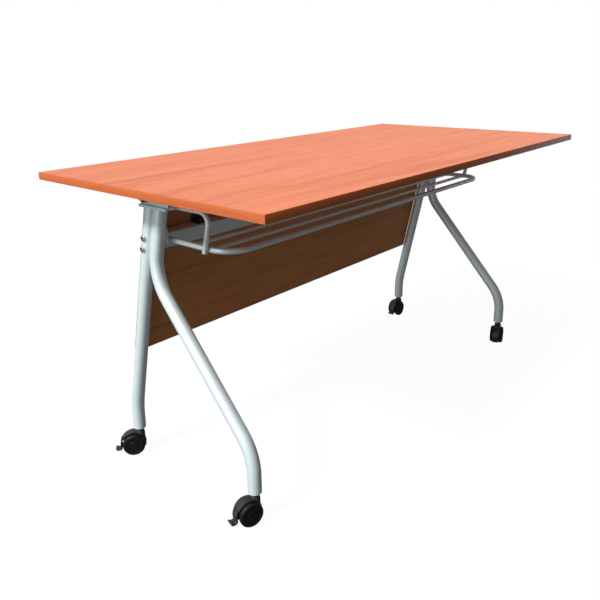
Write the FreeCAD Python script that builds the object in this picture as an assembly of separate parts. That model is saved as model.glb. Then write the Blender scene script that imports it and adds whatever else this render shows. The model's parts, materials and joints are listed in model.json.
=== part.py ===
import FreeCAD, Part
import math
import os
from FreeCAD import Placement, Rotation, Vector

# Mobile flip-top table, in millimetres. +Z is up, +X runs along the length, and the user
# sits at -Y. The origin is on the floor under the middle of the top.

# Table top
top_length = 1500.0
top_depth = 750.0
top_height = 750.0
board_thickness = 18.0
edge_band = 2.0

# Leg tubes, each pair in a plane of constant X
leg_setback = 111.0
tube_outer = 32.0
tube_wall = 2.0
pair_gap = 0.4
leg_lean = 12.44
rear_foot = 207.0
rear_knee_height = 140.0
rear_knee_radius = 250.0
front_foot = -216.5
front_knee_height = 165.6
front_knee_radius = 130.0
front_splay = 41.67
fork_radius = 120.0
tube_bottom = 73.0

# Leg head and flip pivot
pivot_drop = 24.0
pivot_bolt = 10.0
pivot_head_across = 17.0
pivot_head_height = 6.4
pivot_nut_height = 8.0
bush_wall = 2.0
lug_radius = 13.0
lug_thickness = 20.0
head_depth = 18.0
head_plate = 6.0
head_width = 34.0
head_reach = 84.0
flip_clearance = 8.0
bumper_length = 30.0
bumper_width = 18.0
bumper_setback = 40.0

# Flip bracket under the top
bracket_sheet = 3.0
bracket_width = 90.0
bracket_front = 145.0
bracket_rear = 65.0
cheek_radius = 14.0
cheek_nose = 16.0
cheek_nose_depth = 16.0
washer_thickness = 1.6
washer_outer = 24.0
bracket_screw_rows = 4
bracket_screw_inset = 10.0

# Latch lever and its catch
catch_pin = 8.0
catch_setback = 16.0
catch_rise = 11.0
catch_wall = 5.0
latch_pin = 6.0
latch_pin_drop = 8.0
latch_lead = 8.0
latch_sheet = 6.0
latch_hub_wall = 3.0
latch_travel = 20.0
hook_clearance = 0.6
hook_bar = 6.5
hook_foot = 5.0
hook_bite = 3.1
lever_arm = 90.0
lever_height = 8.0
lever_rise = 1.0
slot_clearance = 1.5
grip_length = 46.0
grip_width = 28.0
grip_wall = 3.0
spring_sheet = 0.8
spring_length = 30.0
spring_width = 10.0

# Cross beam between the legs
beam_drop = 136.0
beam_tall = 40.0
beam_deep = 28.0
beam_wall = 2.0
saddle_thickness = 8.0
plug_length = 12.0
beam_bolt = 8.0
beam_bolt_spacing = 28.0
bolt_head = 14.0
bolt_head_height = 5.0
bolt_socket = 6.0

# Book rack in front of the beam
rack_rise = 4.0
guard_gap = 2.0
rack_depth = 233.408
rack_tube_outer = 14.0
rack_tube_wall = 1.5
rack_corner = 60.0
rack_rod = 10.0
rack_rod_count = 2
rack_rod_pitch = 61.0
guard_rod = 12.0
guard_setback = 166.408
guard_lean = 22.0
guard_length = 130.0
guard_rise = 92.0
guard_overhang = 7.0
guard_bend = 24.0

# Modesty panel behind the rear tubes
panel_thickness = 16.0
panel_height = 390.0
panel_inset = 4.0
panel_gap = 0.5
panel_top_gap = 6.0
panel_band = 1.0
angle_count = 3
angle_inset = 135.0
angle_width = 40.0
angle_rise = 42.0
angle_foot = 24.0
angle_sheet = 2.5

# Screws
wood_screw = 4.5
wood_screw_head = 8.5
wood_screw_length = 14.0
pan_head_height = 2.4
angle_bolt = 5.0
angle_bolt_head = 9.0

# Casters
wheel_diameter = 58.0
wheel_width = 15.0
wheel_round = 4.0
web_width = 11.0
web_disc = 40.0
side_play = 1.0
trail = 18.0
axle = 6.0
axle_end_wall = 2.0
hub_diameter = 22.0
dish_depth = 1.2
hood_gap = 1.5
hood_wall = 3.0
fender_width = 22.0
hood_from = 30.0
hood_to = 135.0
web_to = 200.0
boss_diameter = 24.0
neck_diameter = 17.0
stem = 11.0
stem_seat = 17.0
collar_height = 2.7
socket_length = 34.0
tail_width = 4.6
pedal_angle = -8.0
pedal_pin = 4.0
pedal_hub = 8.0
pedal_width = 20.0
pedal_reach = 14.0
pedal_tip = 5.0

# Rest direction of each caster's trailing side, in degrees from +X
caster_angles = {
    "front_left": 162.0,
    "front_right": 198.0,
    "rear_left": 143.0,
    "rear_right": 183.0,
}

# Clearances
running_fit = 0.05
washer_gap = 0.2
seat_fit = 0.05
moving_gap = 0.3

# Levels and places worked out from the sizes above
leg_plane = top_length / 2 - leg_setback
lean_tan = math.tan(math.radians(leg_lean))
lean_sin = math.sin(math.radians(leg_lean))
lean_cos = math.cos(math.radians(leg_lean))
tube_radius = tube_outer / 2
pair_pitch = tube_outer + pair_gap
underside = top_height - board_thickness
plate_bottom = underside - bracket_sheet
pivot_z = underside - pivot_drop
head_top = pivot_z - head_depth
tube_top = head_top - head_plate
rib_top = pivot_z + lug_radius
beam_z = underside - beam_drop
rack_z = beam_z + rack_rise
panel_front_face = tube_radius + panel_gap
panel_back_face = panel_front_face + panel_thickness


def rear_axis_y(z):
    """Y of the rear tube's axis at a height on its straight stretch."""
    return rear_foot - (z - rear_knee_height) * lean_tan


pivot_offset = panel_back_face + flip_clearance - pivot_drop
pivot_y = rear_axis_y(pivot_z) + pivot_offset / lean_cos
head_front = pivot_y - head_reach
catch_y = head_front + catch_setback
catch_z = head_top + catch_rise
latch_y = catch_y - latch_lead
latch_z = plate_bottom - latch_pin_drop
cheek_inner = lug_thickness / 2 + washer_thickness + 2 * washer_gap
cheek_outer = cheek_inner + bracket_sheet

# The leaning frame: its y is square to the rear tubes, its z runs along them
leaning = Placement(Vector(0, rear_axis_y(beam_z), beam_z), Rotation(Vector(1, 0, 0), leg_lean))

nodes = {}


def keep(name, shapes):
    """Store a node: one solid, or several separate ones as a group."""
    nodes[name] = shapes[0] if len(shapes) == 1 else Part.makeCompound(shapes)


def block(x0, x1, y0, y1, z0, z1):
    """A box between two corners."""
    return Part.makeBox(x1 - x0, y1 - y0, z1 - z0, Vector(x0, y0, z0))


def rod_x(x0, x1, y, z, diameter):
    """A round bar along X."""
    return Part.makeCylinder(diameter / 2, x1 - x0, Vector(x0, y, z), Vector(1, 0, 0))


def plate_x(outline, x0, x1):
    """A flat plate square to X, from its outline in Y and Z."""
    corners = [Vector(x0, y, z) for y, z in outline]
    face = Part.Face(Part.makePolygon(corners + corners[:1]))
    return face.extrude(Vector(x1 - x0, 0, 0))


def hexagon_x(x0, x1, y, z, across):
    """A hexagonal prism along X."""
    corner = across / math.sqrt(3)
    turns = [math.radians(60 * i) for i in range(6)]
    return plate_x([(y + corner * math.cos(a), z + corner * math.sin(a)) for a in turns], x0, x1)


def bent_wire(points, radii):
    """Straight runs through the points, with a tangent arc at each inner one."""
    edges = []
    start = points[0]
    for before, corner, after, radius in zip(points, points[1:], points[2:], radii):
        back = (before - corner).normalize()
        ahead = (after - corner).normalize()
        half = back.getAngle(ahead) / 2
        setback = radius / math.tan(half)
        middle = (back + ahead).normalize()
        arc_middle = corner + middle * (radius / math.sin(half) - radius)
        arc_start = corner + back * setback
        arc_end = corner + ahead * setback
        edges.append(Part.LineSegment(start, arc_start).toShape())
        edges.append(Part.Arc(arc_start, arc_middle, arc_end).toShape())
        start = arc_end
    edges.append(Part.LineSegment(start, points[-1]).toShape())
    return Part.Wire(edges)


def bar_along(wire, diameter):
    """A round bar swept along a wire."""
    first = wire.Edges[0]
    start = first.valueAt(first.FirstParameter)
    direction = first.tangentAt(first.FirstParameter)
    section = Part.Wire(Part.makeCircle(diameter / 2, start, direction))
    return wire.makePipeShell([section], True, True)


def tube_along(wire, outer, wall):
    """A round tube swept along a wire."""
    return bar_along(wire, outer).cut(bar_along(wire, outer - 2 * wall))


def turned(profile, axis_point, axis):
    """A solid of revolution from a closed outline."""
    face = Part.Face(Part.makePolygon(profile + profile[:1]))
    return face.revolve(axis_point, axis, 360)


def in_leaning(shape):
    """Move a shape from the leaning frame into the table's."""
    placed = shape.copy()
    placed.Placement = leaning.multiply(placed.Placement)
    return placed


sides = {"left": -1, "right": 1}


# Table top and its edge bands
half_length = top_length / 2
half_depth = top_depth / 2
board = block(-half_length + edge_band, half_length - edge_band,
              -half_depth + edge_band, half_depth - edge_band, underside, top_height)
bands = []
for sign in (-1, 1):
    long_inner = sign * (half_depth - edge_band)
    long_outer = sign * half_depth
    bands.append(block(-half_length, half_length, min(long_inner, long_outer),
                       max(long_inner, long_outer), underside, top_height))
    end_inner = sign * (half_length - edge_band)
    end_outer = sign * half_length
    bands.append(block(min(end_inner, end_outer), max(end_inner, end_outer),
                       -half_depth + edge_band, half_depth - edge_band, underside, top_height))
keep("top_edge_bands", bands)


def countersunk(x, y, z):
    """A countersunk screw driven upwards, its head flush with z."""
    head_height = (wood_screw_head - wood_screw) / 2
    head = Part.makeCone(wood_screw_head / 2, wood_screw / 2, head_height, Vector(x, y, z))
    shank = Part.makeCylinder(wood_screw / 2, wood_screw_length, Vector(x, y, z))
    return head.fuse(shank).removeSplitter()


def countersink_hole(x, y, z):
    """The hole that a countersunk screw sits in."""
    head_height = (wood_screw_head - wood_screw) / 2
    top_radius = wood_screw / 2 + seat_fit
    head = Part.makeCone(wood_screw_head / 2 + seat_fit, top_radius, head_height, Vector(x, y, z))
    depth = wood_screw_length + moving_gap
    return head.fuse(Part.makeCylinder(top_radius, depth, Vector(x, y, z)))


# Flip brackets, their screws, and the holes for them in the board
plate_front = pivot_y - bracket_front
plate_rear = pivot_y + bracket_rear
bracket_screws = []
for side, sign in sides.items():
    middle = sign * leg_plane
    plate = block(middle - bracket_width / 2, middle + bracket_width / 2,
                  plate_front, plate_rear, plate_bottom, underside)
    cheek_outline = [
        (latch_y - cheek_nose, plate_bottom),
        (latch_y - cheek_nose, plate_bottom - cheek_nose_depth),
        (catch_y + cheek_nose, plate_bottom - cheek_nose_depth),
        (pivot_y, pivot_z - cheek_radius),
        (pivot_y + cheek_radius, pivot_z),
        (pivot_y + cheek_radius, plate_bottom),
    ]
    bracket = plate
    for inner, outer in ((cheek_inner, cheek_outer), (-cheek_outer, -cheek_inner)):
        cheek = plate_x(cheek_outline, middle + inner, middle + outer)
        cheek = cheek.fuse(rod_x(middle + inner, middle + outer, pivot_y, pivot_z, 2 * cheek_radius))
        bracket = bracket.fuse(cheek)
    across = (middle - 2 * cheek_outer, middle + 2 * cheek_outer)
    bracket = bracket.cut(rod_x(*across, pivot_y, pivot_z, pivot_bolt + 2 * seat_fit))
    bracket = bracket.cut(rod_x(*across, latch_y, latch_z, latch_pin + 2 * seat_fit))
    row_span = plate_rear - plate_front - 2 * bracket_screw_inset
    for row in range(bracket_screw_rows):
        y = plate_front + bracket_screw_inset + row * row_span / (bracket_screw_rows - 1)
        for edge in (-1, 1):
            x = middle + edge * (bracket_width / 2 - bracket_screw_inset)
            bracket_screws.append(countersunk(x, y, plate_bottom))
            hole = countersink_hole(x, y, plate_bottom)
            bracket = bracket.cut(hole)
            board = board.cut(hole)
    keep("flip_bracket_" + side, [bracket.removeSplitter()])
keep("table_top", [board])
keep("bracket_screws", bracket_screws)

# Leg tubes
rear_top = tube_top + tube_outer
rear_wire_points = [
    Vector(0, rear_foot, tube_bottom),
    Vector(0, rear_foot, rear_knee_height),
    Vector(0, rear_axis_y(rear_top), rear_top),
]
splay_tan = math.tan(math.radians(front_splay))
pair_shift = pair_pitch / lean_cos
front_start = front_foot - front_knee_height * splay_tan
pair_start = rear_foot + rear_knee_height * lean_tan - pair_shift
fork_z = (pair_start - front_start) / (splay_tan + lean_tan)
front_wire_points = [
    Vector(0, front_foot, tube_bottom),
    Vector(0, front_foot, front_knee_height),
    Vector(0, pair_start - fork_z * lean_tan, fork_z),
    Vector(0, rear_axis_y(rear_top) - pair_shift, rear_top),
]
rear_tube = tube_along(bent_wire(rear_wire_points, [rear_knee_radius]), tube_outer, tube_wall)
front_wire = bent_wire(front_wire_points, [front_knee_radius, fork_radius])
front_tube = tube_along(front_wire, tube_outer, tube_wall)
above = block(-tube_outer, tube_outer, -top_depth, top_depth, tube_top, tube_top + top_height)
rear_tube = rear_tube.cut(above)
front_tube = front_tube.cut(above)

# Cross beam, its plugs and saddles, in the leaning frame
beam_half = leg_plane - tube_radius - saddle_thickness
beam = block(-beam_half, beam_half, -beam_deep / 2, beam_deep / 2, -beam_tall / 2, beam_tall / 2)
beam_outer = beam.copy()
beam = beam.cut(block(-beam_half, beam_half, -beam_deep / 2 + beam_wall, beam_deep / 2 - beam_wall,
                      -beam_tall / 2 + beam_wall, beam_tall / 2 - beam_wall))
bolt_levels = (-beam_bolt_spacing / 2, beam_bolt_spacing / 2)
plugs = []
saddles = []
bolts = []
tube_holes = []
plug_y = beam_deep / 2 - beam_wall - seat_fit
plug_z = beam_tall / 2 - beam_wall - seat_fit
bolt_reach = 2 * tube_radius + saddle_thickness + plug_length
for sign in (-1, 1):
    plug_ends = sorted((sign * beam_half, sign * (beam_half - plug_length)))
    plug = block(*plug_ends, -plug_y, plug_y, -plug_z, plug_z)
    saddle_ends = sorted((sign * beam_half, sign * leg_plane))
    saddle = block(*saddle_ends, -beam_deep / 2, beam_deep / 2, -beam_tall / 2, beam_tall / 2)
    tube_space = Part.makeCylinder(tube_radius + seat_fit, 2 * beam_tall,
                                   Vector(sign * leg_plane, 0, -beam_tall))
    saddle = saddle.cut(tube_space)
    for level in bolt_levels:
        outside = sign * (leg_plane + tube_radius + seat_fit)
        shank_ends = sorted((outside, outside - sign * bolt_reach))
        shank = rod_x(*shank_ends, 0, level, beam_bolt)
        head_ends = sorted((outside, outside + sign * bolt_head_height))
        head = rod_x(*head_ends, 0, level, bolt_head)
        rims = [e for e in head.Edges if e.Curve.TypeId == "Part::GeomCircle"]
        outer_edge = [max(rims, key=lambda e: abs(e.CenterOfMass.x))]
        head = head.makeFillet(bolt_head_height / 2, outer_edge)
        socket_ends = sorted((outside + sign * bolt_head_height, outside + sign * bolt_head_height / 2))
        socket = hexagon_x(*socket_ends, 0, level, bolt_socket)
        bolts.append(shank.fuse(head).cut(socket).removeSplitter())
        clear_hole = rod_x(*shank_ends, 0, level, beam_bolt + 2 * seat_fit)
        plug = plug.cut(clear_hole)
        saddle = saddle.cut(clear_hole)
        tube_holes.append(in_leaning(clear_hole))
    plugs.append(plug)
    saddles.append(saddle)
keep("beam_plugs", [in_leaning(s) for s in plugs])
keep("beam_saddles", [in_leaning(s) for s in saddles])
keep("beam_bolts", [in_leaning(s) for s in bolts])

for side, sign in sides.items():
    shift = Vector(sign * leg_plane, 0, 0)
    placed_rear = rear_tube.copy()
    placed_rear.translate(shift)
    for hole in tube_holes:
        placed_rear = placed_rear.cut(hole)
    keep("leg_tube_rear_" + side, [placed_rear])
    placed_front = front_tube.copy()
    placed_front.translate(shift)
    keep("leg_tube_front_" + side, [placed_front])

# Leg heads with their bushes, washers, catch pins and bumper pads
bush_outer = pivot_bolt + 2 * running_fit + 2 * bush_wall
bushes = []
washers = []
catch_pins = []
bumpers = []
pivot_bolts = []
pivot_nuts = []
slot_width = latch_sheet + 2 * slot_clearance
slot_end = catch_y + catch_pin / 2 + catch_wall
for side, sign in sides.items():
    middle = sign * leg_plane
    half_lug = lug_thickness / 2
    base = block(middle - head_width / 2, middle + head_width / 2, head_front,
                 pivot_y + lug_radius, tube_top, head_top)
    rib = block(middle - half_lug, middle + half_lug, head_front, pivot_y, head_top, rib_top)
    rear_post = block(middle - half_lug, middle + half_lug, pivot_y, pivot_y + lug_radius,
                      head_top, pivot_z)
    head = base.fuse(rib).fuse(rear_post)
    head = head.fuse(rod_x(middle - half_lug, middle + half_lug, pivot_y, pivot_z, 2 * lug_radius))
    prong_top = catch_z + catch_pin / 2 + catch_wall
    head = head.cut(block(middle - half_lug, middle + half_lug, head_front, slot_end, prong_top, rib_top))
    head = head.cut(block(middle - slot_width / 2, middle + slot_width / 2, head_front, slot_end,
                          tube_top, rib_top))
    head = head.cut(rod_x(middle - half_lug, middle + half_lug, pivot_y, pivot_z, bush_outer + 2 * seat_fit))
    head = head.cut(rod_x(middle - half_lug, middle + half_lug, catch_y, catch_z, catch_pin + 2 * seat_fit))
    keep("leg_head_" + side, [head.removeSplitter()])
    bush = rod_x(middle - half_lug, middle + half_lug, pivot_y, pivot_z, bush_outer)
    bolt_space = rod_x(middle - cheek_outer, middle + cheek_outer, pivot_y, pivot_z,
                       pivot_bolt + 2 * running_fit)
    bushes.append(bush.cut(bolt_space))
    for start in (half_lug + washer_gap, -half_lug - washer_gap - washer_thickness):
        washer = rod_x(middle + start, middle + start + washer_thickness, pivot_y, pivot_z, washer_outer)
        washers.append(washer.cut(bolt_space))
    catch_pins.append(rod_x(middle - half_lug, middle + half_lug, catch_y, catch_z, catch_pin))
    bumper_start = pivot_y - bumper_setback - bumper_length / 2
    bumpers.append(block(middle - bumper_width / 2, middle + bumper_width / 2, bumper_start,
                         bumper_start + bumper_length, rib_top, plate_bottom - moving_gap))
    shank = rod_x(middle - cheek_outer - pivot_nut_height, middle + cheek_outer + pivot_nut_height,
                  pivot_y, pivot_z, pivot_bolt)
    head_ends = sorted((middle + sign * cheek_outer, middle + sign * (cheek_outer + pivot_head_height)))
    bolt_hexagon = hexagon_x(*head_ends, pivot_y, pivot_z, pivot_head_across)
    pivot_bolts.append(shank.fuse(bolt_hexagon).removeSplitter())
    nut_ends = sorted((middle - sign * cheek_outer, middle - sign * (cheek_outer + pivot_nut_height)))
    nut = hexagon_x(*nut_ends, pivot_y, pivot_z, pivot_head_across)
    pivot_nuts.append(nut.cut(rod_x(*nut_ends, pivot_y, pivot_z, pivot_bolt + 2 * seat_fit)))
keep("pivot_bushes", bushes)
keep("pivot_washers", washers)
keep("catch_pins", catch_pins)
keep("bumper_pads", bumpers)
keep("pivot_bolts", pivot_bolts)
keep("pivot_nuts", pivot_nuts)

# Latch levers: the hook is drawn where it holds the catch pin, then turned to its released rest
hub_radius = latch_pin / 2 + latch_hub_wall
hook_inner = catch_y - catch_pin / 2 - hook_clearance
hook_under = catch_z - catch_pin / 2 - hook_clearance
hook_outline = [
    (hook_inner, latch_z),
    (hook_inner, hook_under),
    (catch_y + hook_bite, hook_under),
    (catch_y + hook_bite, hook_under - hook_foot),
    (hook_inner - hook_bar, hook_under - hook_foot),
    (hook_inner - hook_bar, latch_z),
]
latch_pins = []
latch_springs = []
for side, sign in sides.items():
    middle = sign * leg_plane
    half_sheet = latch_sheet / 2
    hook = plate_x(hook_outline, middle - half_sheet, middle + half_sheet)
    hook.rotate(Vector(middle, latch_y, latch_z), Vector(1, 0, 0), -latch_travel)
    arm_middle = latch_z + lever_rise
    arm = block(middle - half_sheet, middle + half_sheet, latch_y - lever_arm, latch_y,
                arm_middle - lever_height / 2, arm_middle + lever_height / 2)
    lever = hook.fuse(arm)
    lever = lever.fuse(rod_x(middle - half_sheet, middle + half_sheet, latch_y, latch_z, 2 * hub_radius))
    lever = lever.cut(rod_x(middle - half_sheet, middle + half_sheet, latch_y, latch_z,
                            latch_pin + 2 * running_fit))
    keep("latch_lever_" + side, [lever.removeSplitter()])
    grip_front = latch_y - lever_arm - grip_wall
    grip = block(middle - grip_width / 2, middle + grip_width / 2, grip_front, grip_front + grip_length,
                 arm_middle - lever_height / 2 - grip_wall, arm_middle + lever_height / 2 + grip_wall)
    side_edges = [e for e in grip.Edges if abs(e.CenterOfMass.x - middle) > latch_sheet / 2]
    grip = grip.makeFillet(grip_wall, side_edges)
    keep("latch_grip_" + side, [grip.cut(arm)])
    latch_pins.append(rod_x(middle - cheek_outer, middle + cheek_outer, latch_y, latch_z, latch_pin))
    spring_rear = latch_y - latch_pin
    latch_springs.append(block(middle - spring_width / 2, middle + spring_width / 2,
                               spring_rear - spring_length, spring_rear,
                               plate_bottom - spring_sheet, plate_bottom))
keep("latch_pins", latch_pins)
keep("latch_springs", latch_springs)

# Modesty panel with its edge bands, in the leaning frame
panel_half = leg_plane - panel_inset
panel_top = (tube_top - panel_top_gap - beam_z - panel_back_face * lean_sin) / lean_cos
panel_bottom = panel_top - panel_height
panel = block(-panel_half + panel_band, panel_half - panel_band, panel_front_face, panel_back_face,
              panel_bottom + panel_band, panel_top - panel_band)
panel_bands = [
    block(-panel_half, panel_half, panel_front_face, panel_back_face,
          panel_bottom, panel_bottom + panel_band),
    block(-panel_half, panel_half, panel_front_face, panel_back_face,
          panel_top - panel_band, panel_top),
]
for sign in (-1, 1):
    ends = sorted((sign * panel_half, sign * (panel_half - panel_band)))
    panel_bands.append(block(*ends, panel_front_face, panel_back_face,
                             panel_bottom + panel_band, panel_top - panel_band))
keep("panel_edge_bands", [in_leaning(s) for s in panel_bands])

# Angles on top of the beam that hold the panel, with their bolts and screws
angles = []
angle_bolts = []
panel_screws = []
beam_top = beam_tall / 2
angle_back = panel_front_face
foot_front = angle_back - angle_foot
angle_pitch = 2 * (beam_half - angle_inset) / (angle_count - 1)
for index in range(angle_count):
    x = (index - (angle_count - 1) / 2) * angle_pitch
    foot = block(x - angle_width / 2, x + angle_width / 2, foot_front, angle_back,
                 beam_top, beam_top + angle_sheet)
    upright = block(x - angle_width / 2, x + angle_width / 2, angle_back - angle_sheet, angle_back,
                    beam_top, beam_top + angle_rise)
    angle = foot.fuse(upright).removeSplitter()
    bolt_y = (foot_front + angle_back - angle_sheet) / 2
    bolt_top = beam_top + angle_sheet
    bolt_depth = angle_sheet + 2 * beam_wall
    bolt = Part.makeCylinder(angle_bolt / 2, bolt_depth, Vector(x, bolt_y, bolt_top - bolt_depth))
    bolt = bolt.fuse(Part.makeCylinder(angle_bolt_head / 2, pan_head_height, Vector(x, bolt_y, bolt_top)))
    angle_bolts.append(bolt.removeSplitter())
    bolt_hole = Part.makeCylinder(angle_bolt / 2 + seat_fit, bolt_depth + pan_head_height,
                                  Vector(x, bolt_y, bolt_top - bolt_depth))
    angle = angle.cut(bolt_hole)
    beam = beam.cut(bolt_hole)
    screw_z = beam_top + angle_rise - wood_screw_head
    screw_front = angle_back - angle_sheet
    for edge in (-1, 1):
        screw_x = x + edge * (angle_width / 2 - wood_screw_head)
        seat = Vector(screw_x, screw_front, screw_z)
        screw = Part.makeCylinder(wood_screw / 2, wood_screw_length, seat, Vector(0, 1, 0))
        screw = screw.fuse(Part.makeCylinder(wood_screw_head / 2, pan_head_height, seat, Vector(0, -1, 0)))
        panel_screws.append(screw.removeSplitter())
        hole_depth = wood_screw_length + moving_gap
        hole = Part.makeCylinder(wood_screw / 2 + seat_fit, hole_depth, seat, Vector(0, 1, 0))
        angle = angle.cut(hole)
        panel = panel.cut(hole)
    angles.append(angle)
keep("modesty_panel", [in_leaning(panel)])
keep("panel_angles", [in_leaning(s) for s in angles])
keep("angle_bolts", [in_leaning(s) for s in angle_bolts])
keep("panel_screws", [in_leaning(s) for s in panel_screws])
keep("cross_beam", [in_leaning(beam)])

# Book rack: a bent tube welded to the beam's front, rods across it and a guard at each end
beam_space = in_leaning(beam_outer)
rack_rear = rear_axis_y(beam_z)
rack_front = rack_rear - rack_depth
guard_front = rack_rear - guard_setback
guard_x = leg_plane - head_width / 2 - guard_gap - guard_rod / 2
rack_half_length = guard_x - guard_rod / 2 - seat_fit - rack_tube_outer / 2
rack_points = [
    Vector(-rack_half_length, rack_rear, rack_z),
    Vector(-rack_half_length, rack_front, rack_z),
    Vector(rack_half_length, rack_front, rack_z),
    Vector(rack_half_length, rack_rear, rack_z),
]
rack = tube_along(bent_wire(rack_points, [rack_corner, rack_corner]), rack_tube_outer, rack_tube_wall)
rack_pieces = rack.cut(beam_space).Solids
keep("rack_tube", [max(rack_pieces, key=lambda s: s.Volume)])
rod_end = rack_half_length - rack_tube_outer / 2
rods = [rod_x(-rod_end, rod_end, rack_front + (i + 1) * rack_rod_pitch, rack_z, rack_rod)
        for i in range(rack_rod_count)]
keep("rack_rods", rods)
guard_foot_z = rack_z - guard_overhang
guard_top_z = rack_z + guard_rise - guard_rod / 2
guard_points = [
    Vector(0, guard_front, guard_foot_z),
    Vector(0, guard_front - guard_lean, guard_top_z),
    Vector(0, guard_front + guard_length + guard_lean, guard_top_z),
    Vector(0, guard_front + guard_length, guard_foot_z),
]
guard = bar_along(bent_wire(guard_points, [guard_bend, guard_bend]), guard_rod)
for side, sign in sides.items():
    placed_guard = guard.copy()
    placed_guard.translate(Vector(sign * guard_x, 0, 0))
    keep("rack_guard_" + side, [placed_guard])

# Caster sockets in the tube ends and the stems they hold
feet = {
    "front_left": (-leg_plane, front_foot),
    "front_right": (leg_plane, front_foot),
    "rear_left": (-leg_plane, rear_foot),
    "rear_right": (leg_plane, rear_foot),
}
boss_top = tube_bottom - collar_height - moving_gap
stem_bottom = boss_top - stem_seat
sockets = []
stems = []
for x, y in feet.values():
    plug_radius = tube_radius - tube_wall - seat_fit
    socket = Part.makeCylinder(plug_radius, socket_length, Vector(x, y, tube_bottom))
    socket = socket.cut(Part.makeCylinder(stem / 2 + seat_fit, socket_length, Vector(x, y, tube_bottom)))
    sockets.append(socket)
    stem_length = tube_bottom + socket_length - stem_bottom
    pin = Part.makeCylinder(stem / 2, stem_length, Vector(x, y, stem_bottom))
    collar = Part.makeCylinder(neck_diameter / 2, collar_height, Vector(x, y, tube_bottom - collar_height))
    stems.append(pin.fuse(collar).removeSplitter())
keep("caster_sockets", sockets)
keep("caster_stems", stems)

# One caster at the origin, trailing along +X: hood, axle, two wheels and brake pedal
wheel_radius = wheel_diameter / 2
inner_face = web_width / 2 + side_play
outer_face = inner_face + wheel_width
hood_inner = wheel_radius + hood_gap
hood_outer = hood_inner + hood_wall
axle_point = Vector(trail, 0, wheel_radius)
along_axle = Vector(0, 1, 0)


def disc(radius, y0, y1, point):
    """A disc on an axis along Y through a point."""
    return Part.makeCylinder(radius, y1 - y0, Vector(point.x, y0, point.z), along_axle)


def from_axle(radius, degrees):
    """A point about the axle, counted from the trailing side upwards."""
    angle = math.radians(degrees)
    return Vector(trail + radius * math.cos(angle), 0, wheel_radius + radius * math.sin(angle))


def sector(half_width, inner, outer, degrees):
    """A slab between two radii about the axle, from the hood's trailing edge forwards."""
    corners = [
        from_axle(inner, hood_from) + Vector(0, -half_width, 0),
        from_axle(outer, hood_from) + Vector(0, -half_width, 0),
        from_axle(outer, hood_from) + Vector(0, half_width, 0),
        from_axle(inner, hood_from) + Vector(0, half_width, 0),
    ]
    face = Part.Face(Part.makePolygon(corners + corners[:1]))
    return face.revolve(axle_point, Vector(0, -1, 0), degrees)


def at_pedal(shape):
    """Turn a shape drawn straight behind the axle up to the pedal's angle."""
    shape.rotate(axle_point, Vector(0, -1, 0), pedal_angle)
    return shape


fender = sector(fender_width / 2, hood_inner, hood_outer, hood_to - hood_from)
web = sector(web_width / 2, 0, hood_inner + hood_wall / 2, web_to - hood_from)
web = web.fuse(disc(web_disc / 2, -web_width / 2, web_width / 2, axle_point))
boss_foot = wheel_radius + math.sqrt(hood_outer ** 2 - trail ** 2)
boss = Part.makeCylinder(boss_diameter / 2, boss_foot - wheel_radius, Vector(0, 0, wheel_radius))
neck = Part.makeCone(boss_diameter / 2, neck_diameter / 2, boss_top - boss_foot, Vector(0, 0, boss_foot))
boss = boss.fuse(neck).cut(disc(hood_inner, -boss_diameter, boss_diameter, axle_point))
boss = max(boss.Solids, key=lambda s: s.CenterOfMass.z)

# The tail reaches back between the wheels and carries the pedal's hinge
hinge_radius = wheel_radius - pedal_hub / 2
pedal_hinge = from_axle(hinge_radius, pedal_angle)
straight_hinge = from_axle(hinge_radius, 0)
tail_half = tail_width / 2
tail = block(axle_point.x, straight_hinge.x, -tail_half, tail_half,
             wheel_radius - pedal_hub / 2, wheel_radius + pedal_hub / 2)
tail = tail.fuse(disc(pedal_hub / 2, -tail_half, tail_half, straight_hinge))
hood = fender.fuse(web).fuse(boss).fuse(at_pedal(tail))
hood = hood.cut(disc(pedal_pin / 2 + running_fit, -web_width, web_width, pedal_hinge))
hood = hood.cut(disc(axle / 2 + seat_fit, -web_width, web_width, axle_point))
hood = hood.cut(Part.makeCylinder(stem / 2 + running_fit, stem_seat + moving_gap,
                                  Vector(0, 0, stem_bottom - moving_gap)))
hood = hood.removeSplitter()

axle_half = outer_face - axle_end_wall
axle_bar = disc(axle / 2, -axle_half, axle_half, axle_point)
bore_depth = axle_half + moving_gap
dish_radius = wheel_radius - 2 * wheel_round
wheel_profile = [
    Vector(trail, inner_face, wheel_radius),
    Vector(trail, inner_face, wheel_diameter - wheel_round),
    Vector(trail, inner_face + wheel_round, wheel_diameter),
    Vector(trail, outer_face - wheel_round, wheel_diameter),
    Vector(trail, outer_face, wheel_diameter - wheel_round),
    Vector(trail, outer_face, wheel_radius + dish_radius),
    Vector(trail, outer_face - dish_depth, wheel_radius + dish_radius - dish_depth),
    Vector(trail, outer_face - dish_depth, wheel_radius + hub_diameter / 2),
    Vector(trail, outer_face, wheel_radius + hub_diameter / 2 - dish_depth),
    Vector(trail, outer_face, wheel_radius),
]
wheel = turned(wheel_profile, axle_point, along_axle)
wheel = wheel.cut(disc(axle / 2 + running_fit, 0, bore_depth, axle_point))
other_wheel = wheel.mirror(Vector(0, 0, 0), along_axle)

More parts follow.
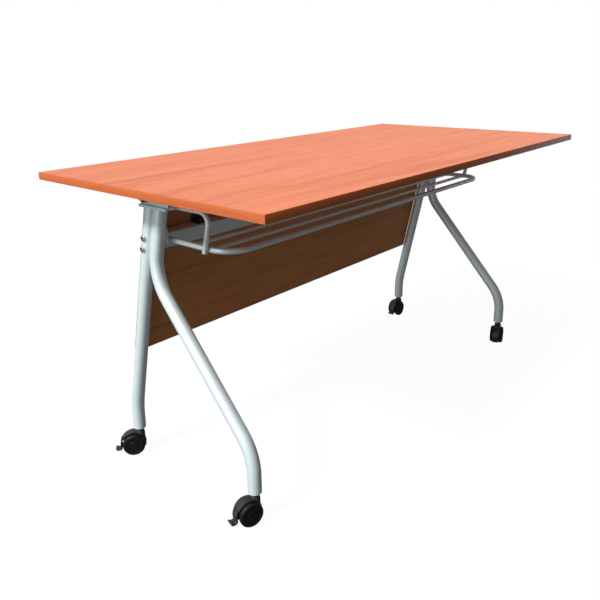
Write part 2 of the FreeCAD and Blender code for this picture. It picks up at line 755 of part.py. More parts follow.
pedal_half = pedal_width / 2
pad_start = trail + hood_inner + side_play
pad_end = pad_start + pedal_reach
pad_outline = [
    Vector(pad_start, -pedal_half, wheel_radius - pedal_hub / 2),
    Vector(pad_end, -pedal_half, wheel_radius - pedal_hub / 2),
    Vector(pad_end, -pedal_half, wheel_radius - pedal_hub / 2 + pedal_tip),
    Vector(pad_start, -pedal_half, wheel_radius + pedal_hub / 2),
]
pedal = Part.Face(Part.makePolygon(pad_outline + pad_outline[:1])).extrude(Vector(0, pedal_width, 0))
cheek_from = tail_half + moving_gap
cheek_to = web_width / 2
for ends in ((cheek_from, cheek_to), (-cheek_to, -cheek_from)):
    arm = block(straight_hinge.x, pad_start, *ends,
                wheel_radius - pedal_hub / 2, wheel_radius + pedal_hub / 2)
    pedal = pedal.fuse(arm).fuse(disc(pedal_hub / 2, *ends, straight_hinge))
pedal = pedal.fuse(disc(pedal_pin / 2, -cheek_to, cheek_to, straight_hinge))
pedal = at_pedal(pedal.removeSplitter())

caster_pieces = {
    "caster_hood_{}": hood,
    "caster_axle_{}": axle_bar,
    "caster_wheel_{}_a": wheel,
    "caster_wheel_{}_b": other_wheel,
    "caster_pedal_{}": pedal,
}
for corner, (x, y) in feet.items():
    place = Placement(Vector(x, y, 0), Rotation(Vector(0, 0, 1), caster_angles[corner]))
    for name, shape in caster_pieces.items():
        placed = shape.copy()
        placed.Placement = place.multiply(placed.Placement)
        keep(name.format(corner), [placed])

os.makedirs("parts", exist_ok=True)
for name, shape in nodes.items():
    shape.exportStep("parts/" + name + ".step")
print(len(nodes), "nodes written")
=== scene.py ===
import bpy
import bmesh
import json
import math
from mathutils import Matrix, Vector


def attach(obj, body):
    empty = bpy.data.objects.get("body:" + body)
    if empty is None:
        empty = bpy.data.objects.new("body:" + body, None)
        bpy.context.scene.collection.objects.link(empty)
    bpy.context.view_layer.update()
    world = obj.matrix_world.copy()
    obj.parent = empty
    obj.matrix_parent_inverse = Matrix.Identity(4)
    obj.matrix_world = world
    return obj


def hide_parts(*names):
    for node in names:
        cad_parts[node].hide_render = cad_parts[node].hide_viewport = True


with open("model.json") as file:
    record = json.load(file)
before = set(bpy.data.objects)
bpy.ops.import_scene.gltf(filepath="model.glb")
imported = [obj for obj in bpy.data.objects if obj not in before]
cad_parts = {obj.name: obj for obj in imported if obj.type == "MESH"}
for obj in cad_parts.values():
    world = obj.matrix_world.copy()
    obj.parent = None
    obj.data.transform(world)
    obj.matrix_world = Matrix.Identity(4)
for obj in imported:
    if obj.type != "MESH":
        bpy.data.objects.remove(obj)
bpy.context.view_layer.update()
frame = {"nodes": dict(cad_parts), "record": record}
cadNodes = frame["nodes"]

sides = {"left": -1, "right": 1}


# Finishes: every one is procedural, on Object coordinates

def newFinish(name, sockets):
    finish = bpy.data.materials.new(name)
    finish.use_nodes = True
    shader = finish.node_tree.nodes["Principled BSDF"]
    for socket, value in sockets.items():
        shader.inputs[socket].default_value = value
    return finish, shader


def addNode(finish, kind, sockets, **settings):
    node = finish.node_tree.nodes.new("ShaderNode" + kind)
    for setting, value in settings.items():
        setattr(node, setting, value)
    for socket, value in sockets.items():
        if isinstance(value, bpy.types.NodeSocket):
            finish.node_tree.links.new(value, node.inputs[socket])
        else:
            node.inputs[socket].default_value = value
    return node


def addRamp(finish, source, stops):
    ramp = addNode(finish, "ValToRGB", {"Fac": source}).color_ramp
    while len(ramp.elements) < len(stops):
        ramp.elements.new(0.5)
    for element, (place, colour) in zip(ramp.elements, stops):
        element.position = place
        element.color = (*colour, 1)
    return finish.node_tree.nodes[-1].outputs["Color"]


def noiseOn(finish, scale, detail=4, roughness=0.55, distortion=0.0, turn=(0, 0, 0)):
    place = addNode(finish, "TexCoord", {}).outputs["Object"]
    mapped = addNode(finish, "Mapping", {"Vector": place, "Scale": scale, "Rotation": turn})
    noise = addNode(finish, "TexNoise", {"Vector": mapped.outputs["Vector"], "Scale": 1.0,
                                         "Detail": detail, "Roughness": roughness,
                                         "Distortion": distortion})
    return noise.outputs["Fac"]


def spread(finish, source, low, high):
    mapped = addNode(finish, "MapRange", {"Value": source, "From Min": 0.3, "From Max": 0.7,
                                          "To Min": low, "To Max": high})
    return mapped.outputs["Result"]


def linkBump(finish, shader, height, strength, distance):
    bump = addNode(finish, "Bump", {"Height": height, "Strength": strength, "Distance": distance})
    finish.node_tree.links.new(bump.outputs["Normal"], shader.inputs["Normal"])


def woodFinish(name, tones, pores, roughness, stretch, turn=(0, 0, 0)):
    finish, shader = newFinish(name, {"Specular IOR Level": 0.28})
    link = finish.node_tree.links.new
    broad = noiseOn(finish, stretch["broad"], 5, 0.6, 0.7, turn)
    fine = noiseOn(finish, stretch["fine"], 3, 0.7, 0.2, turn)
    colour = addRamp(finish, broad, list(zip((0.25, 0.45, 0.58, 0.75), tones)))
    streak = addRamp(finish, fine, [(0.34, pores), (0.5, (1, 1, 1))])
    mixed = addNode(finish, "Mix", {"Factor": 1.0}, data_type="RGBA", blend_type="MULTIPLY")
    link(colour, mixed.inputs[6])    # a Mix node's colour inputs come after its numbers and vectors
    link(streak, mixed.inputs[7])
    link(mixed.outputs[2], shader.inputs["Base Color"])
    link(spread(finish, fine, roughness[1], roughness[0]), shader.inputs["Roughness"])
    linkBump(finish, shader, fine, 0.12, 0.0002)
    return finish


def paintFinish(name, tones, metallic, roughness, peel, shine=0.5, fleck=1800.0):
    finish, shader = newFinish(name, {"Metallic": metallic, "Specular IOR Level": shine})
    link = finish.node_tree.links.new
    flecks = noiseOn(finish, (fleck,) * 3, 2, 0.5)
    clouds = noiseOn(finish, (14, 14, 14), 3, 0.5)
    link(addRamp(finish, flecks, [(0.35, tones[0]), (0.65, tones[1])]), shader.inputs["Base Color"])
    link(spread(finish, clouds, roughness[0], roughness[1]), shader.inputs["Roughness"])
    linkBump(finish, shader, noiseOn(finish, (peel,) * 3, 2, 0.5), 0.05, 0.0002)
    return finish


cherryTones = [(0.65, 0.162, 0.072), (0.80, 0.236, 0.112),
               (0.86, 0.270, 0.134), (0.74, 0.202, 0.092)]
cherryLaminate = woodFinish("cherry laminate", cherryTones, (0.82, 0.74, 0.71), (0.34, 0.46),
                            {"broad": (1.1, 17, 17), "fine": (7, 330, 330)})
edgeTones = [(0.44, 0.096, 0.026), (0.52, 0.124, 0.034),
             (0.56, 0.140, 0.040), (0.47, 0.106, 0.030)]
cherryEdge = woodFinish("cherry edge band", edgeTones, (0.80, 0.74, 0.70), (0.36, 0.48),
                        {"broad": (3, 3, 160), "fine": (12, 12, 900)})
panelTones = [(0.420, 0.163, 0.048), (0.550, 0.220, 0.066),
              (0.610, 0.248, 0.077), (0.470, 0.184, 0.055)]
brownLaminate = woodFinish("brown laminate", panelTones, (0.80, 0.76, 0.72), (0.38, 0.52),
                           {"broad": (1.3, 16, 16), "fine": (8, 300, 300)})
panelEdgeTones = [(0.150, 0.060, 0.020), (0.190, 0.076, 0.025),
                  (0.210, 0.086, 0.029), (0.165, 0.066, 0.022)]
brownEdge = woodFinish("brown edge band", panelEdgeTones, (0.80, 0.76, 0.72), (0.40, 0.54),
                       {"broad": (3, 160, 160), "fine": (12, 900, 900)})
silverPaint = paintFinish("silver paint", [(0.68, 0.79, 0.80), (0.77, 0.88, 0.89)],
                          0.35, (0.36, 0.44), 150.0)
blackSteel = paintFinish("black powder coat", [(0.016, 0.016, 0.017), (0.030, 0.030, 0.032)],
                         0.0, (0.42, 0.55), 900.0)
blackPlastic = paintFinish("black moulded plastic", [(0.020, 0.020, 0.022), (0.032, 0.032, 0.035)],
                           0.0, (0.24, 0.34), 1300.0, 0.6)
wheelPlastic = paintFinish("black wheel plastic", [(0.004, 0.004, 0.005), (0.008, 0.008, 0.009)],
                           0.0, (0.46, 0.58), 700.0, 0.25)
blackRubber = paintFinish("black rubber", [(0.016, 0.016, 0.016), (0.030, 0.030, 0.030)],
                          0.0, (0.68, 0.85), 1600.0)
zincSteel = paintFinish("zinc plated steel", [(0.40, 0.41, 0.42), (0.52, 0.53, 0.54)],
                        1.0, (0.28, 0.42), 2500.0)
print("finishes made:", len(bpy.data.materials))


# Modelling steps shared by the pieces

def clearSelection():
    if bpy.context.object is not None and bpy.context.object.mode != "OBJECT":
        bpy.ops.object.mode_set(mode="OBJECT")
    bpy.ops.object.select_all(action="DESELECT")


def selectOnly(piece):
    clearSelection()
    piece.select_set(True)
    bpy.context.view_layer.objects.active = piece


def editAll(piece):
    selectOnly(piece)
    bpy.ops.object.mode_set(mode="EDIT")
    bpy.ops.mesh.select_mode(type="VERT")
    bpy.ops.mesh.select_all(action="SELECT")


def pick(kind, test):
    bpy.ops.mesh.select_mode(type={"verts": "VERT", "edges": "EDGE", "faces": "FACE"}[kind])
    bpy.ops.mesh.select_all(action="DESELECT")
    mesh = bmesh.from_edit_mesh(bpy.context.object.data)
    mesh.normal_update()
    for part in getattr(mesh, kind):
        if test(part):
            part.select_set(True)
    bmesh.update_edit_mesh(bpy.context.object.data)


def applyPlace(piece):
    selectOnly(piece)
    bpy.ops.object.transform_apply(location=True, rotation=True, scale=True)


def applyModifier(piece, kind, **settings):
    selectOnly(piece)
    modifier = piece.modifiers.new(kind.title(), kind)
    for setting, value in settings.items():
        setattr(modifier, setting, value)
    bpy.ops.object.modifier_apply(modifier=modifier.name)


def roundEdges(piece, width, segments=3, angle=35):
    applyModifier(piece, "BEVEL", width=width, segments=segments, limit_method="ANGLE",
                  angle_limit=math.radians(angle), harden_normals=False)


def extrudeBy(step):
    bpy.ops.mesh.extrude_region_move(TRANSFORM_OT_translate={"value": step})


def joinPieces(pieces):
    clearSelection()
    for piece in pieces:
        piece.select_set(True)
    bpy.context.view_layer.objects.active = pieces[0]
    bpy.ops.object.join()
    return bpy.context.object


def copyPiece(piece, place):
    selectOnly(piece)
    bpy.ops.object.duplicate(linked=False)
    copied = bpy.context.object
    copied.matrix_world = place
    applyPlace(copied)
    return copied


def finishPiece(piece, name, body, finish, replaced=(), smooth=40):
    applyPlace(piece)
    piece.name = name
    piece.data.name = name
    if finish is not None:
        piece.data.materials.clear()
        piece.data.materials.append(finish)
    bpy.ops.object.shade_smooth_by_angle(angle=math.radians(smooth))
    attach(piece, body)
    if replaced:
        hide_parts(*replaced)
    return piece


def sweepSection(points, radii):
    at = points[0]
    for before, corner, after, radius in zip(points, points[1:], points[2:], radii):
        into, out = (corner - before).normalized(), (after - corner).normalized()
        turn = into.angle(out)
        setback = radius * math.tan(turn / 2)
        bendStart = corner - into * setback
        extrudeBy(bendStart - at)
        axle = into.cross(out).normalized()
        bendMiddle = bendStart + axle.cross(into) * radius
        bpy.ops.mesh.spin(steps=max(5, round(math.degrees(turn) / 4)), angle=turn,
                          center=bendMiddle, axis=-axle)    # spin turns left-handed
        at = corner + out * setback
    extrudeBy(points[-1] - at)


def closeEnds():
    pick("edges", lambda e: e.is_boundary)
    bpy.ops.mesh.fill_holes(sides=0)
    bpy.ops.mesh.select_all(action="SELECT")
    bpy.ops.mesh.normals_make_consistent(inside=False)


def bentTube(path, radii, across, wall=0.0, around=32):
    clearSelection()
    points = [Vector(p) for p in path]
    heading = (points[1] - points[0]).normalized()
    bpy.ops.mesh.primitive_circle_add(vertices=around, radius=across / 2, location=points[0],
                                      rotation=heading.to_track_quat("Z", "Y").to_euler())
    tube = bpy.context.object
    applyPlace(tube)
    editAll(tube)
    sweepSection(points, radii)
    if wall == 0:
        closeEnds()
        selectOnly(tube)
    else:
        bpy.ops.mesh.select_all(action="SELECT")
        bpy.ops.mesh.normals_make_consistent(inside=False)
        applyModifier(tube, "SOLIDIFY", thickness=wall, offset=-1)
    return tube


def cutAbove(piece, level):
    editAll(piece)
    bpy.ops.mesh.bisect(plane_co=(0, 0, level), plane_no=(0, 0, 1), clear_outer=True,
                        use_fill=False)
    clearSelection()


def softened(node, width, segments=2, angle=32):
    clearSelection()
    piece = bpy.data.objects.new(node + "_soft", cadNodes[node].data.copy())
    bpy.context.scene.collection.objects.link(piece)
    editAll(piece)
    bpy.ops.mesh.customdata_custom_splitnormals_clear()
    bpy.ops.mesh.remove_doubles(threshold=0.00002)
    bpy.ops.mesh.dissolve_limited(angle_limit=math.radians(1))
    selectOnly(piece)
    roundEdges(piece, width, segments, angle)
    return piece


# Table top and modesty panel: a laminated board with a band round its edges

def bandedBoard(sizes):
    length, depth, thick, band = sizes["length"], sizes["depth"], sizes["thick"], sizes["band"]
    clearSelection()
    bpy.ops.mesh.primitive_cube_add(size=1, scale=(length - 2 * band, depth - 2 * band, thick))
    board = bpy.context.object
    applyPlace(board)
    editAll(board)
    pick("faces", lambda f: abs(f.normal.z) > 0.9)
    bpy.ops.mesh.inset(thickness=sizes["round"] * 2, use_individual=True)
    clearSelection()
    bpy.ops.mesh.primitive_plane_add(size=1, location=(0, 0, -thick / 2))
    strip = bpy.context.object
    strip.scale = (length, depth, 1)
    applyPlace(strip)
    editAll(strip)
    bpy.ops.mesh.inset(thickness=band)
    bpy.ops.mesh.delete(type="FACE")
    bpy.ops.mesh.select_all(action="SELECT")
    extrudeBy((0, 0, thick))
    bpy.ops.mesh.select_all(action="SELECT")
    bpy.ops.mesh.normals_make_consistent(inside=False)
    outside = lambda v: abs(v.co.x) > length / 2 - band / 2 or abs(v.co.y) > depth / 2 - band / 2
    pick("edges", lambda e: all(outside(v) for v in e.verts))
    bpy.ops.mesh.bevel(offset=sizes["round"], segments=3, affect="EDGES")
    clearSelection()
    return board, strip


topBoard = {"length": 1.5, "depth": 0.75, "thick": 0.018, "band": 0.002, "round": 0.0009,
            "height": 0.750}
board, strip = bandedBoard(topBoard)
for piece in (board, strip):
    piece.location.z = topBoard["height"] - topBoard["thick"] / 2
finishPiece(board, "top_board", "top", cherryLaminate, ["table_top"])
finishPiece(strip, "top_bands", "top", cherryEdge, ["top_edge_bands"])

# The beam and the panel lean as the rear tubes do, and take their place from them
rearTube = {"foot": 0.207, "knee": 0.140, "bend": 0.250, "lean": 12.44}
lean = math.radians(rearTube["lean"])
leanTan = math.tan(lean)


def rearAxis(z):
    return rearTube["foot"] - (z - rearTube["knee"]) * leanTan


hungPanel = {"length": 1.270, "depth": 0.390, "thick": 0.016, "band": 0.001, "round": 0.0005,
             "setback": 0.0165, "top": 0.678, "level": 0.596}
beamMiddle = Matrix.Translation((0, rearAxis(hungPanel["level"]), hungPanel["level"]))
leaning = beamMiddle @ Matrix.Rotation(lean, 4, "X")
panelBack = hungPanel["setback"] + hungPanel["thick"]
panelTop = (hungPanel["top"] - hungPanel["level"] - panelBack * math.sin(lean)) / math.cos(lean)
upright = Matrix.Rotation(math.radians(90), 4, "X")
panelMiddle = Matrix.Translation((0, hungPanel["setback"] + hungPanel["thick"] / 2,
                                  panelTop - hungPanel["depth"] / 2))
board, strip = bandedBoard(hungPanel)
for piece in (board, strip):
    piece.matrix_world = leaning @ panelMiddle @ upright
finishPiece(board, "panel_board", "frame", brownLaminate, ["modesty_panel"])
finishPiece(strip, "panel_bands", "frame", brownEdge, ["panel_edge_bands"])
print("boards made")


# Legs: two bent tubes on each side, welded side by side from the fork up

legTube = {"plane": 0.639, "across": 0.032, "wall": 0.002, "bottom": 0.073, "top": 0.684,
           "spare": 0.03, "pairPitch": 0.0324, "around": 48}    # the spare length is cut off level
frontTube = {"foot": -0.2165, "knee": 0.1656, "bend": 0.130, "forkBend": 0.120, "splay": 41.67}
splayTan = math.tan(math.radians(frontTube["splay"]))
pairShift = legTube["pairPitch"] / math.cos(lean)
splayFoot = frontTube["foot"] - frontTube["knee"] * splayTan
pairFoot = rearAxis(0) - pairShift
forkLevel = (pairFoot - splayFoot) / (splayTan + leanTan)
overTop = legTube["top"] + legTube["spare"]
legPaths = {
    "rear": ([(rearTube["foot"], legTube["bottom"]), (rearTube["foot"], rearTube["knee"]),
              (rearAxis(overTop), overTop)], [rearTube["bend"]]),
    "front": ([(frontTube["foot"], legTube["bottom"]), (frontTube["foot"], frontTube["knee"]),
               (rearAxis(forkLevel) - pairShift, forkLevel),
               (rearAxis(overTop) - pairShift, overTop)], [frontTube["bend"], frontTube["forkBend"]]),
}
for side, sign in sides.items():
    for part, (path, bends) in legPaths.items():
        tube = bentTube([(sign * legTube["plane"], y, z) for y, z in path], bends,
                        legTube["across"], legTube["wall"], legTube["around"])
        cutAbove(tube, legTube["top"])
        finishPiece(tube, f"leg_{part}_{side}", "frame", silverPaint,
                    [f"leg_tube_{part}_{side}"])
print("legs made")


# Cross beam: an open rectangular tube

crossBeam = {"half": 0.615, "tall": 0.040, "deep": 0.028, "wall": 0.002, "round": 0.003}
clearSelection()
bpy.ops.mesh.primitive_cube_add(size=1, scale=(2 * crossBeam["half"], crossBeam["deep"],
                                               crossBeam["tall"]))
beam = bpy.context.object
applyPlace(beam)
editAll(beam)
pick("edges", lambda e: abs(e.verts[0].co.x - e.verts[1].co.x) > crossBeam["half"])
bpy.ops.mesh.bevel(offset=crossBeam["round"], segments=4, affect="EDGES")
pick("faces", lambda f: abs(f.normal.x) > 0.9)
bpy.ops.mesh.delete(type="FACE")
applyModifier(beam, "SOLIDIFY", thickness=crossBeam["wall"], offset=-1)
beam.matrix_world = leaning
finishPiece(beam, "beam", "frame", silverPaint, ["cross_beam"])


# Book rack: a bent front tube, two rods and a guard at each end

weldBead = {"radius": 0.0018, "around": 8, "steps": 28, "ripple": 1.04}


def weldRing(place, along, radius):
    clearSelection()
    along = Vector(along).normalized()
    across = along.orthogonal().normalized()
    middle = Vector(place)
    facing = along.cross(across).to_track_quat("Z", "Y").to_euler()
    bpy.ops.mesh.primitive_circle_add(vertices=weldBead["around"], radius=weldBead["radius"],
                                      location=middle + across * radius, rotation=facing)
    ring = bpy.context.object
    applyPlace(ring)
    editAll(ring)
    bpy.ops.mesh.spin(steps=weldBead["steps"], angle=math.radians(360), center=middle, axis=along)
    bpy.ops.mesh.select_all(action="SELECT")
    bpy.ops.mesh.remove_doubles(threshold=0.00005)
    bpy.ops.mesh.normals_make_consistent(inside=False)
    degrees = lambda v: math.degrees((v.co - middle).angle(across))
    pick("verts", lambda v: int(round(degrees(v) * weldBead["steps"] / 360)) % 2 == 0)
    bpy.ops.transform.resize(value=(weldBead["ripple"],) * 3, center_override=middle)
    clearSelection()
    return ring


bookRack = {"level": 0.600, "half": 0.60095, "front": -0.127, "rear": 0.092, "tube": 0.014,
            "wall": 0.0015, "corner": 0.060, "weldIn": 0.0015, "rods": 2, "rod": 0.010,
            "rodFirst": -0.066, "rodPitch": 0.061, "rodIn": 0.0045}
level, half = bookRack["level"], bookRack["half"]
front, rear = bookRack["front"], bookRack["rear"]
rackPath = [(-half, rear, level), (-half, front, level), (half, front, level), (half, rear, level)]
rack = bentTube(rackPath, [bookRack["corner"]] * 2, bookRack["tube"], bookRack["wall"], 24)
finishPiece(rack, "rack_front_tube", "frame", silverPaint, ["rack_tube"])
rods, welds = [], []
end = half - bookRack["rodIn"]
reach = half - bookRack["tube"] / 2
for i in range(bookRack["rods"]):
    y = bookRack["rodFirst"] + i * bookRack["rodPitch"]
    rods.append(bentTube([(-end, y, level), (end, y, level)], [], bookRack["rod"], 0.0, 20))
    for sign in sides.values():
        welds.append(weldRing((sign * reach, y, level), (1, 0, 0), bookRack["rod"] / 2))
for sign in sides.values():
    welds.append(weldRing((sign * half, rear - bookRack["weldIn"], level), (0, 1, 0.1),
                          bookRack["tube"] / 2))
finishPiece(joinPieces(rods), "rack_cross_rods", "frame", silverPaint,
            ["rack_rods"])
finishPiece(joinPieces(welds), "rack_welds", "frame", silverPaint, smooth=80)
rackGuard = {"rod": 0.012, "x": 0.614, "bend": 0.024, "round": 0.0015,
             "path": [(-0.060, 0.593), (-0.082, 0.686), (0.092, 0.686), (0.070, 0.593)]}
for side, sign in sides.items():
    path = [(sign * rackGuard["x"], y, z) for y, z in rackGuard["path"]]
    guard = bentTube(path, [rackGuard["bend"]] * 2, rackGuard["rod"], 0.0, 24)
    roundEdges(guard, rackGuard["round"], 3, 60)
    finishPiece(guard, "guard_" + side, "frame", silverPaint,
                ["rack_guard_" + side])
print("beam and rack made")


# Casters: twin wheels, hood and brake pedal, modelled at the axle and copied to the four feet

casterWheel = {"radius": 0.029, "width": 0.015, "inner": 0.0065, "round": 0.0055, "rim": 0.008,
               "dish": 0.0006, "web": 0.0085, "around": 64, "trail": 0.018}
clearSelection()
bpy.ops.mesh.primitive_cylinder_add(vertices=casterWheel["around"], radius=casterWheel["radius"],
                                    depth=casterWheel["width"], rotation=(-math.pi / 2, 0, 0),
                                    location=(0, casterWheel["inner"]
                                              + casterWheel["width"] / 2, 0))
wheel = bpy.context.object
applyPlace(wheel)
editAll(wheel)
pick("edges", lambda e: abs(e.verts[0].co.y - e.verts[1].co.y) < 1e-5)
bpy.ops.mesh.bevel(offset=casterWheel["round"], segments=6, affect="EDGES")
pick("faces", lambda f: f.normal.y > 0.99 and len(f.verts) > 8)
bpy.ops.mesh.inset(thickness=casterWheel["rim"] - casterWheel["round"])
bpy.ops.mesh.inset(thickness=casterWheel["dish"], depth=-casterWheel["dish"])
bpy.ops.mesh.inset(thickness=casterWheel["web"])
bpy.ops.mesh.inset(thickness=casterWheel["dish"], depth=casterWheel["dish"])
bpy.ops.mesh.inset(thickness=casterWheel["dish"] * 2)
bpy.ops.mesh.inset(thickness=casterWheel["dish"] / 2, depth=-casterWheel["dish"] / 2)
clearSelection()

# The pedal's lever hugs the wheels and flicks out at its foot; its fork comes from the solid,
# cut where it meets the lever
brakeLever = {"width": 0.020, "thick": 0.0042, "round": 0.0010, "forkEnd": 0.0325, "forkDrop": 8.0,
              "path": [(0.0298, 0.0146), (0.03485, 0.0043), (0.0310, -0.0138), (0.0432, -0.0140),
                       (0.0468, -0.0100)],
              "bends": [0.0332, 0.0050, 0.0050]}
leverPath = [Vector((x, 0, z)) for x, z in brakeLever["path"]]
leverStart = leverPath[1] - leverPath[0]
bpy.ops.mesh.primitive_plane_add(size=1, location=leverPath[0])
lever = bpy.context.object
lever.scale = (brakeLever["thick"], brakeLever["width"], 1)
lever.rotation_euler = (0, math.atan2(leverStart.x, leverStart.z), 0)
applyPlace(lever)
editAll(lever)
bpy.ops.mesh.delete(type="ONLY_FACE")
bpy.ops.mesh.select_all(action="SELECT")
sweepSection(leverPath, brakeLever["bends"])
closeEnds()
selectOnly(lever)
roundEdges(lever, brakeLever["round"], 3, 40)
clearSelection()
casterTurns = {"front_left": 162.0, "front_right": 198.0, "rear_left": 143.0, "rear_right": 183.0}
tubeFeet = {"front": frontTube["foot"], "rear": rearTube["foot"]}
hoodRound, forkRound = 0.0007, 0.0006
trail = Matrix.Translation((casterWheel["trail"], 0, casterWheel["radius"]))
halfTurn = Matrix.Rotation(math.pi, 4, "Z")
dropped = Matrix.Rotation(math.radians(brakeLever["forkDrop"]), 4, "Y")
for corner, turn in casterTurns.items():
    pair, side = corner.split("_")
    under = Matrix.Translation((sides[side] * legTube["plane"], tubeFeet[pair], 0))
    foot = under @ Matrix.Rotation(math.radians(turn), 4, "Z") @ trail
    for twin, place in (("a", foot), ("b", foot @ halfTurn)):
        copied = copyPiece(wheel, place)
        finishPiece(copied, f"wheel_{corner}_{twin}", f"wheel_{corner}_{twin}",
                    wheelPlastic, [f"caster_wheel_{corner}_{twin}"], 30)
    hood = softened("caster_hood_" + corner, hoodRound, 3)
    finishPiece(hood, "hood_" + corner, "caster_" + corner, blackPlastic,
                ["caster_hood_" + corner])
    fork = softened("caster_pedal_" + corner, forkRound, 3)
    forkPlace = foot @ dropped
    editAll(fork)
    bpy.ops.mesh.bisect(plane_co=forkPlace @ Vector((brakeLever["forkEnd"], 0, 0)),
                        plane_no=forkPlace.to_3x3() @ Vector((1, 0, 0)),
                        clear_outer=True, use_fill=True)
    pedal = joinPieces([copyPiece(lever, foot), fork])
    finishPiece(pedal, "pedal_" + corner, "pedal_" + corner, blackPlastic,
                ["caster_pedal_" + corner])
bpy.data.objects.remove(wheel)
bpy.data.objects.remove(lever)
print("casters made")


# Small hardware keeps its exact solids, with their edges eased where they show

eased = {
    "leg_head_left": (0.0008, "frame", "silver_paint", silverPaint),
    "leg_head_right": (0.0008, "frame", "silver_paint", silverPaint),
    "beam_saddles": (0.0005, "frame", "silver_paint", silverPaint),
    "panel_angles": (0.0005, "frame", "black_steel", blackSteel),
    "bumper_pads": (0.0010, "frame", "rubber", blackRubber),
    "flip_bracket_left": (0.0005, "top", "black_steel", blackSteel),
    "flip_bracket_right": (0.0005, "top", "black_steel", blackSteel),
    "latch_lever_left": (0.0005, "latch_left", "zinc_steel", zincSteel),
    "latch_lever_right": (0.0005, "latch_right", "zinc_steel", zincSteel),
    "latch_grip_left": (0.0008, "latch_left", "black_plastic", blackPlastic),
    "latch_grip_right": (0.0008, "latch_right", "black_plastic", blackPlastic),
}
for node, (width, body, slot, finish) in eased.items():
    finishPiece(softened(node, width), node + "_eased", body, finish, [node])
slotFinishes = {"cherry_laminate": cherryLaminate, "edge_band": cherryEdge,
                "dark_laminate": brownLaminate, "silver_paint": silverPaint,
                "black_steel": blackSteel, "black_plastic": blackPlastic,
                "wheel_plastic": wheelPlastic, "rubber": blackRubber, "zinc_steel": zincSteel}
for part in frame["record"]["subparts"]:
    node = cadNodes[part["node"]]
    node.data.materials.clear()
    node.data.materials.append(slotFinishes[part["material_slot"]])
print("hardware finished")


# Floor, light and camera

floor = {"size": 60.0, "tone": (0.035, 0.035, 0.034), "mottle": 1.02, "glow": 0.965}
clearSelection()
bpy.ops.mesh.primitive_plane_add(size=floor["size"])
ground = bpy.context.object
ground.name = "floor"
floorPaint, floorShader = newFinish("pale floor", {
    "Roughness": 0.9, "Specular IOR Level": 0.0,
    "Emission Color": (1, 1, 1, 1), "Emission Strength": floor["glow"]})
mottled = tuple(c * floor["mottle"] for c in floor["tone"])
floorTone = addRamp(floorPaint, noiseOn(floorPaint, (3, 3, 3), 3),
                    [(0.3, floor["tone"]), (0.7, mottled)])
floorPaint.node_tree.links.new(floorTone, floorShader.inputs["Base Color"])
ground.data.materials.append(floorPaint)
ground.visible_diffuse = False    # the glow keeps the floor white and doesn't light the table
ground.visible_glossy = False

keyLight = {"towards": Vector((-0.72, 0.08, 0.70)), "strength": 4.25, "spread": 9}
bpy.ops.object.light_add(type="SUN", location=keyLight["towards"] * 3)
sun = bpy.context.object
sun.name = "key"
sun.data.energy = keyLight["strength"]
sun.data.angle = math.radians(keyLight["spread"])
sun.rotation_euler = keyLight["towards"].to_track_quat("Z", "Y").to_euler()
softBoxes = {
    "left": {"place": Vector((-1.70, -0.05, 0.52)), "aim": Vector((-0.55, 0.0, 0.40)),
             "watts": 1.6, "size": 0.7},
    "right": {"place": Vector((1.90, -0.35, 0.50)), "aim": Vector((0.60, 0.0, 0.35)),
              "watts": 1.8, "size": 0.7},
}
for name, box in softBoxes.items():
    bpy.ops.object.light_add(type="AREA", location=box["place"])
    softBox = bpy.context.object
    softBox.name = name + "_soft_box"
    softBox.data.energy = box["watts"]
    softBox.data.size = box["size"]
    softBox.rotation_euler = (box["place"] - box["aim"]).to_track_quat("Z", "Y").to_euler()
    softBox.visible_camera = False

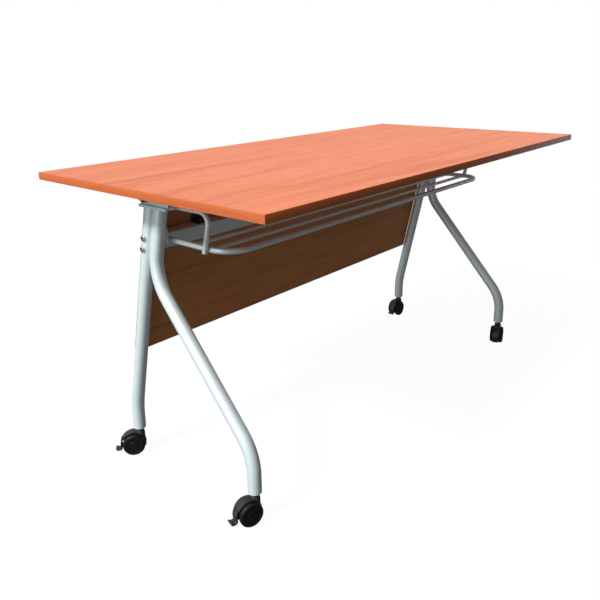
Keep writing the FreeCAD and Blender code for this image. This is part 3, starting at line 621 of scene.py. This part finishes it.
# The camera sees a white studio; the table is lit by two soft glows in the same sky
studioSky = {"strength": 0.5, "base": 0.10, "fullAt": 0.95}
glows = {
    "left": {"towards": (-0.80, 0.25, 0.55), "from": 0.0, "high": 1.0},
    "behind": {"towards": (0.75, 0.62, 0.22), "from": 0.6, "high": 0.8},
}
world = bpy.data.worlds.new("studio")
world.use_nodes = True
bpy.context.scene.world = world
skyNodes, skyLinks = world.node_tree.nodes, world.node_tree.links
shown = skyNodes["Background"]
shown.inputs["Color"].default_value = (1, 1, 1, 1)
shown.inputs["Strength"].default_value = 1.0
around = skyNodes.new("ShaderNodeBackground")
around.inputs["Strength"].default_value = studioSky["strength"]
skyPlace = skyNodes.new("ShaderNodeTexCoord")
total = None
for glow in glows.values():
    towards = skyNodes.new("ShaderNodeVectorMath")
    towards.operation = "DOT_PRODUCT"
    towards.inputs[1].default_value = Vector(glow["towards"]).normalized()
    bright = skyNodes.new("ShaderNodeMapRange")
    for socket, value in (("From Min", glow["from"]), ("From Max", studioSky["fullAt"]),
                          ("To Min", studioSky["base"]), ("To Max", glow["high"])):
        bright.inputs[socket].default_value = value
    skyLinks.new(skyPlace.outputs["Generated"], towards.inputs[0])
    skyLinks.new(towards.outputs["Value"], bright.inputs["Value"])
    if total is None:
        total = bright.outputs["Result"]
        continue
    added = skyNodes.new("ShaderNodeMath")
    skyLinks.new(total, added.inputs[0])
    skyLinks.new(bright.outputs["Result"], added.inputs[1])
    total = added.outputs["Value"]
rays = skyNodes.new("ShaderNodeLightPath")
either = skyNodes.new("ShaderNodeMixShader")
skyLinks.new(total, around.inputs["Color"])
skyLinks.new(rays.outputs["Is Camera Ray"], either.inputs["Fac"])
skyLinks.new(around.outputs["Background"], either.inputs[1])
skyLinks.new(shown.outputs["Background"], either.inputs[2])
skyLinks.new(either.outputs["Shader"], skyNodes["World Output"].inputs["Surface"])
bpy.context.scene.view_settings.view_transform = "Standard"

# The photo's own view; focal length, middle and frame are in pixels
photoView = {"azimuth": -48.711, "elevation": 15.533, "roll": -0.886,
             "place": (-1.51906, -1.10697, 0.99499),
             "focal": 648.6, "middle": (290.6, 243.07), "frame": 600.0}
azimuth = math.radians(photoView["azimuth"])
elevation = math.radians(photoView["elevation"])
back = Vector((math.sin(azimuth) * math.cos(elevation), -math.cos(azimuth) * math.cos(elevation),
               math.sin(elevation)))
right = Vector((0, 0, 1)).cross(back).normalized()
turned = Matrix((right, back.cross(right), back)).transposed().to_4x4()
clearSelection()
bpy.ops.object.camera_add()
camera = bpy.context.object
camera.matrix_world = (Matrix.Translation(photoView["place"]) @ turned
                       @ Matrix.Rotation(math.radians(photoView["roll"]), 4, "Z"))
camera.data.sensor_width = 36.0
camera.data.lens = photoView["focal"] / photoView["frame"] * camera.data.sensor_width
camera.data.shift_x = 0.5 - photoView["middle"][0] / photoView["frame"]
camera.data.shift_y = photoView["middle"][1] / photoView["frame"] - 0.5
camera.data.clip_end = 100
bpy.context.scene.camera = camera
print("floor, light and camera set")
